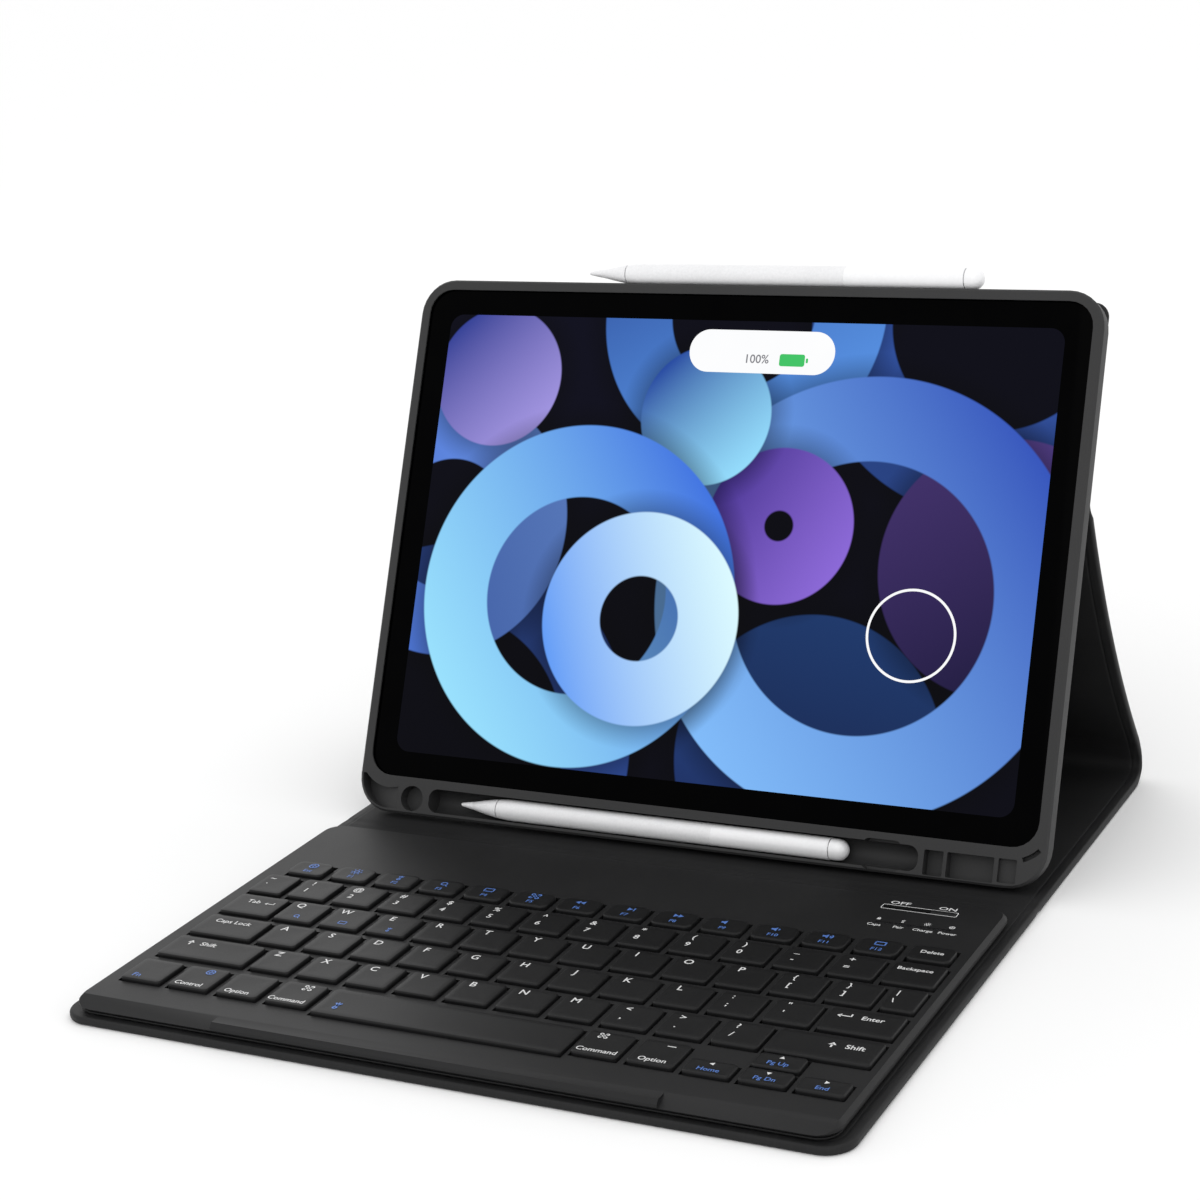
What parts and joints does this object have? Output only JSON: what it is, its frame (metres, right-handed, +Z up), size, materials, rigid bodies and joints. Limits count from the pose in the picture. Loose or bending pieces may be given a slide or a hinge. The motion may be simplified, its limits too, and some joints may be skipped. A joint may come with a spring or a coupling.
{
  "type": "tablet keyboard case",
  "caption": "Folding leather folio that stands a tablet in a rubber shell behind a slim detachable keyboard, with a stylus groove.",
  "frame": {"origin": "middle of the footprint of the standing case, on the table", "axes": "+X right as the user sees it, +Y away from the user towards the leg, +Z up"},
  "size_m": [0.253, 0.285, 0.1855],
  "materials": {
    "floor_panel_skin": "brushed grain",
    "floor_panel_board": "matt",
    "floor_panel_lining": "smooth matt",
    "front_fold_strip": "brushed grain",
    "rear_fold_strip": "brushed grain",
    "front_cover_skin": "brushed grain",
    "front_cover_board": "matt",
    "front_cover_lining": "smooth matt",
    "keyboard_magnet_left": "plain",
    "keyboard_magnet_right": "plain",
    "keyboard_top_case": "fine texture",
    "keyboard_bottom_cover": "fine texture",
    "switch_sheet": "satin",
    "battery": "foil",
    "controller_board": "satin",
    "charging_socket": "plain",
    "indicator_lens": "clear",
    "power_switch": "fine texture",
    "leg_skin": "brushed grain",
    "leg_board": "matt",
    "leg_lining": "smooth matt",
    "tablet_shell": "soft matt",
    "upper_panel_board": "matt",
    "upper_panel_skin": "brushed grain",
    "crease_strip": "brushed grain",
    "tablet_housing": "anodised",
    "tablet_glass": "gloss",
    "tablet_battery": "plain",
    "tablet_camera": "gloss",
    "groove_stylus_tip": "satin white",
    "groove_stylus_barrel": "satin white",
    "groove_stylus_cap": "satin white",
    "top_stylus_tip": "satin white",
    "top_stylus_barrel": "satin white",
    "top_stylus_cap": "satin white",
    "function_keys": "satin",
    "number_keys": "satin",
    "backspace_key": "satin",
    "tab_key": "satin",
    "top_letter_keys": "satin",
    "caps_lock_key": "satin",
    "home_letter_keys": "satin",
    "enter_key": "satin",
    "left_shift_key": "satin",
    "bottom_letter_keys": "satin",
    "right_shift_key": "satin",
    "fn_key": "satin",
    "left_modifier_keys": "satin",
    "space_bar": "satin",
    "right_modifier_keys": "satin",
    "arrow_left_key": "satin",
    "arrow_up_key": "satin",
    "arrow_down_key": "satin",
    "arrow_right_key": "satin"
  },
  "bodies": {
    "floor_panel": {"floor_panel_skin": "floor_panel_skin", "floor_panel_board": "floor_panel_board", "floor_panel_lining": "floor_panel_lining", "front_fold_strip": "front_fold_strip", "rear_fold_strip": "rear_fold_strip"},
    "front_cover": {"front_cover_skin": "front_cover_skin", "front_cover_board": "front_cover_board", "front_cover_lining": "front_cover_lining", "keyboard_magnet_left": "keyboard_magnet_left", "keyboard_magnet_right": "keyboard_magnet_right"},
    "keyboard": {"keyboard_top_case": "keyboard_top_case", "keyboard_bottom_cover": "keyboard_bottom_cover", "switch_sheet": "switch_sheet", "battery": "battery", "controller_board": "controller_board", "charging_socket": "charging_socket", "indicator_lens": "indicator_lens"},
    "power_switch": {"power_switch": "power_switch"},
    "leg": {"leg_skin": "leg_skin", "leg_board": "leg_board", "leg_lining": "leg_lining"},
    "shell": {"tablet_shell": "tablet_shell", "upper_panel_board": "upper_panel_board", "upper_panel_skin": "upper_panel_skin", "crease_strip": "crease_strip", "tablet_housing": "tablet_housing", "tablet_glass": "tablet_glass", "tablet_battery": "tablet_battery", "tablet_camera": "tablet_camera"},
    "groove_stylus": {"groove_stylus_tip": "groove_stylus_tip", "groove_stylus_barrel": "groove_stylus_barrel", "groove_stylus_cap": "groove_stylus_cap"},
    "top_stylus": {"top_stylus_tip": "top_stylus_tip", "top_stylus_barrel": "top_stylus_barrel", "top_stylus_cap": "top_stylus_cap"},
    "function_keys": {"function_keys": "function_keys"},
    "number_keys": {"number_keys": "number_keys"},
    "backspace_key": {"backspace_key": "backspace_key"},
    "tab_key": {"tab_key": "tab_key"},
    "top_letter_keys": {"top_letter_keys": "top_letter_keys"},
    "caps_lock_key": {"caps_lock_key": "caps_lock_key"},
    "home_letter_keys": {"home_letter_keys": "home_letter_keys"},
    "enter_key": {"enter_key": "enter_key"},
    "left_shift_key": {"left_shift_key": "left_shift_key"},
    "bottom_letter_keys": {"bottom_letter_keys": "bottom_letter_keys"},
    "right_shift_key": {"right_shift_key": "right_shift_key"},
    "fn_key": {"fn_key": "fn_key"},
    "left_modifier_keys": {"left_modifier_keys": "left_modifier_keys"},
    "space_bar": {"space_bar": "space_bar"},
    "right_modifier_keys": {"right_modifier_keys": "right_modifier_keys"},
    "arrow_left_key": {"arrow_left_key": "arrow_left_key"},
    "arrow_up_key": {"arrow_up_key": "arrow_up_key"},
    "arrow_down_key": {"arrow_down_key": "arrow_down_key"},
    "arrow_right_key": {"arrow_right_key": "arrow_right_key"}
  },
  "joints": [
    {"name": "front_cover_fold", "type": "hinge", "parent": "floor_panel", "child": "front_cover", "pos_m": [0, 0.02097, 0.00025], "axis": [-1, 0, 0], "range_deg": [0, 100]},
    {"name": "leg_fold", "type": "hinge", "parent": "floor_panel", "child": "leg", "pos_m": [0, 0.13897, 0.0045], "axis": [-1, 0, 0], "range_deg": [0, 90]},
    {"name": "shell_fold", "type": "hinge", "parent": "leg", "child": "shell", "pos_m": [0, 0.08907, 0.11323], "axis": [-1, 0, 0], "range_deg": [0, 120]},
    {"name": "keyboard_lift", "type": "slide", "parent": "front_cover", "child": "keyboard", "axis": [0, 0, 1], "range_m": [0, 0.04]},
    {"name": "power_switch_slide", "type": "slide", "parent": "keyboard", "child": "power_switch", "axis": [-1, 0, 0], "range_m": [0, 0.005]},
    {"name": "groove_stylus_lift", "type": "slide", "parent": "shell", "child": "groove_stylus", "axis": [0, -0.9105, 0.4136], "range_m": [0, 0.04]},
    {"name": "top_stylus_lift", "type": "slide", "parent": "shell", "child": "top_stylus", "axis": [0, 0.4136, 0.9105], "range_m": [0, 0.04]},
    {"name": "function_keys_press", "type": "slide", "parent": "keyboard", "child": "function_keys", "axis": [0, 0, -1], "range_m": [0, 0.0011], "stiffness_N_per_m": 400, "springref_m": -0.001},
    {"name": "number_keys_press", "type": "slide", "parent": "keyboard", "child": "number_keys", "axis": [0, 0, -1], "range_m": [0, 0.0011], "stiffness_N_per_m": 400, "springref_m": -0.001},
    {"name": "backspace_key_press", "type": "slide", "parent": "keyboard", "child": "backspace_key", "axis": [0, 0, -1], "range_m": [0, 0.0011], "stiffness_N_per_m": 150, "springref_m": -0.001},
    {"name": "tab_key_press", "type": "slide", "parent": "keyboard", "child": "tab_key", "axis": [0, 0, -1], "range_m": [0, 0.0011], "stiffness_N_per_m": 150, "springref_m": -0.001},
    {"name": "top_letter_keys_press", "type": "slide", "parent": "keyboard", "child": "top_letter_keys", "axis": [0, 0, -1], "range_m": [0, 0.0011], "stiffness_N_per_m": 400, "springref_m": -0.001},
    {"name": "caps_lock_key_press", "type": "slide", "parent": "keyboard", "child": "caps_lock_key", "axis": [0, 0, -1], "range_m": [0, 0.0011], "stiffness_N_per_m": 150, "springref_m": -0.001},
    {"name": "home_letter_keys_press", "type": "slide", "parent": "keyboard", "child": "home_letter_keys", "axis": [0, 0, -1], "range_m": [0, 0.0011], "stiffness_N_per_m": 400, "springref_m": -0.001},
    {"name": "enter_key_press", "type": "slide", "parent": "keyboard", "child": "enter_key", "axis": [0, 0, -1], "range_m": [0, 0.0011], "stiffness_N_per_m": 150, "springref_m": -0.001},
    {"name": "left_shift_key_press", "type": "slide", "parent": "keyboard", "child": "left_shift_key", "axis": [0, 0, -1], "range_m": [0, 0.0011], "stiffness_N_per_m": 150, "springref_m": -0.001},
    {"name": "bottom_letter_keys_press", "type": "slide", "parent": "keyboard", "child": "bottom_letter_keys", "axis": [0, 0, -1], "range_m": [0, 0.0011], "stiffness_N_per_m": 400, "springref_m": -0.001},
    {"name": "right_shift_key_press", "type": "slide", "parent": "keyboard", "child": "right_shift_key", "axis": [0, 0, -1], "range_m": [0, 0.0011], "stiffness_N_per_m": 150, "springref_m": -0.001},
    {"name": "fn_key_press", "type": "slide", "parent": "keyboard", "child": "fn_key", "axis": [0, 0, -1], "range_m": [0, 0.0011], "stiffness_N_per_m": 150, "springref_m": -0.001},
    {"name": "left_modifier_keys_press", "type": "slide", "parent": "keyboard", "child": "left_modifier_keys", "axis": [0, 0, -1], "range_m": [0, 0.0011], "stiffness_N_per_m": 400, "springref_m": -0.001},
    {"name": "space_bar_press", "type": "slide", "parent": "keyboard", "child": "space_bar", "axis": [0, 0, -1], "range_m": [0, 0.0011], "stiffness_N_per_m": 150, "springref_m": -0.001},
    {"name": "right_modifier_keys_press", "type": "slide", "parent": "keyboard", "child": "right_modifier_keys", "axis": [0, 0, -1], "range_m": [0, 0.0011], "stiffness_N_per_m": 400, "springref_m": -0.001},
    {"name": "arrow_left_key_press", "type": "slide", "parent": "keyboard", "child": "arrow_left_key", "axis": [0, 0, -1], "range_m": [0, 0.0011], "stiffness_N_per_m": 150, "springref_m": -0.001},
    {"name": "arrow_up_key_press", "type": "slide", "parent": "keyboard", "child": "arrow_up_key", "axis": [0, 0, -1], "range_m": [0, 0.0011], "stiffness_N_per_m": 150, "springref_m": -0.001},
    {"name": "arrow_down_key_press", "type": "slide", "parent": "keyboard", "child": "arrow_down_key", "axis": [0, 0, -1], "range_m": [0, 0.0011], "stiffness_N_per_m": 150, "springref_m": -0.001},
    {"name": "arrow_right_key_press", "type": "slide", "parent": "keyboard", "child": "arrow_right_key", "axis": [0, 0, -1], "range_m": [0, 0.0011], "stiffness_N_per_m": 150, "springref_m": -0.001}
  ]
}
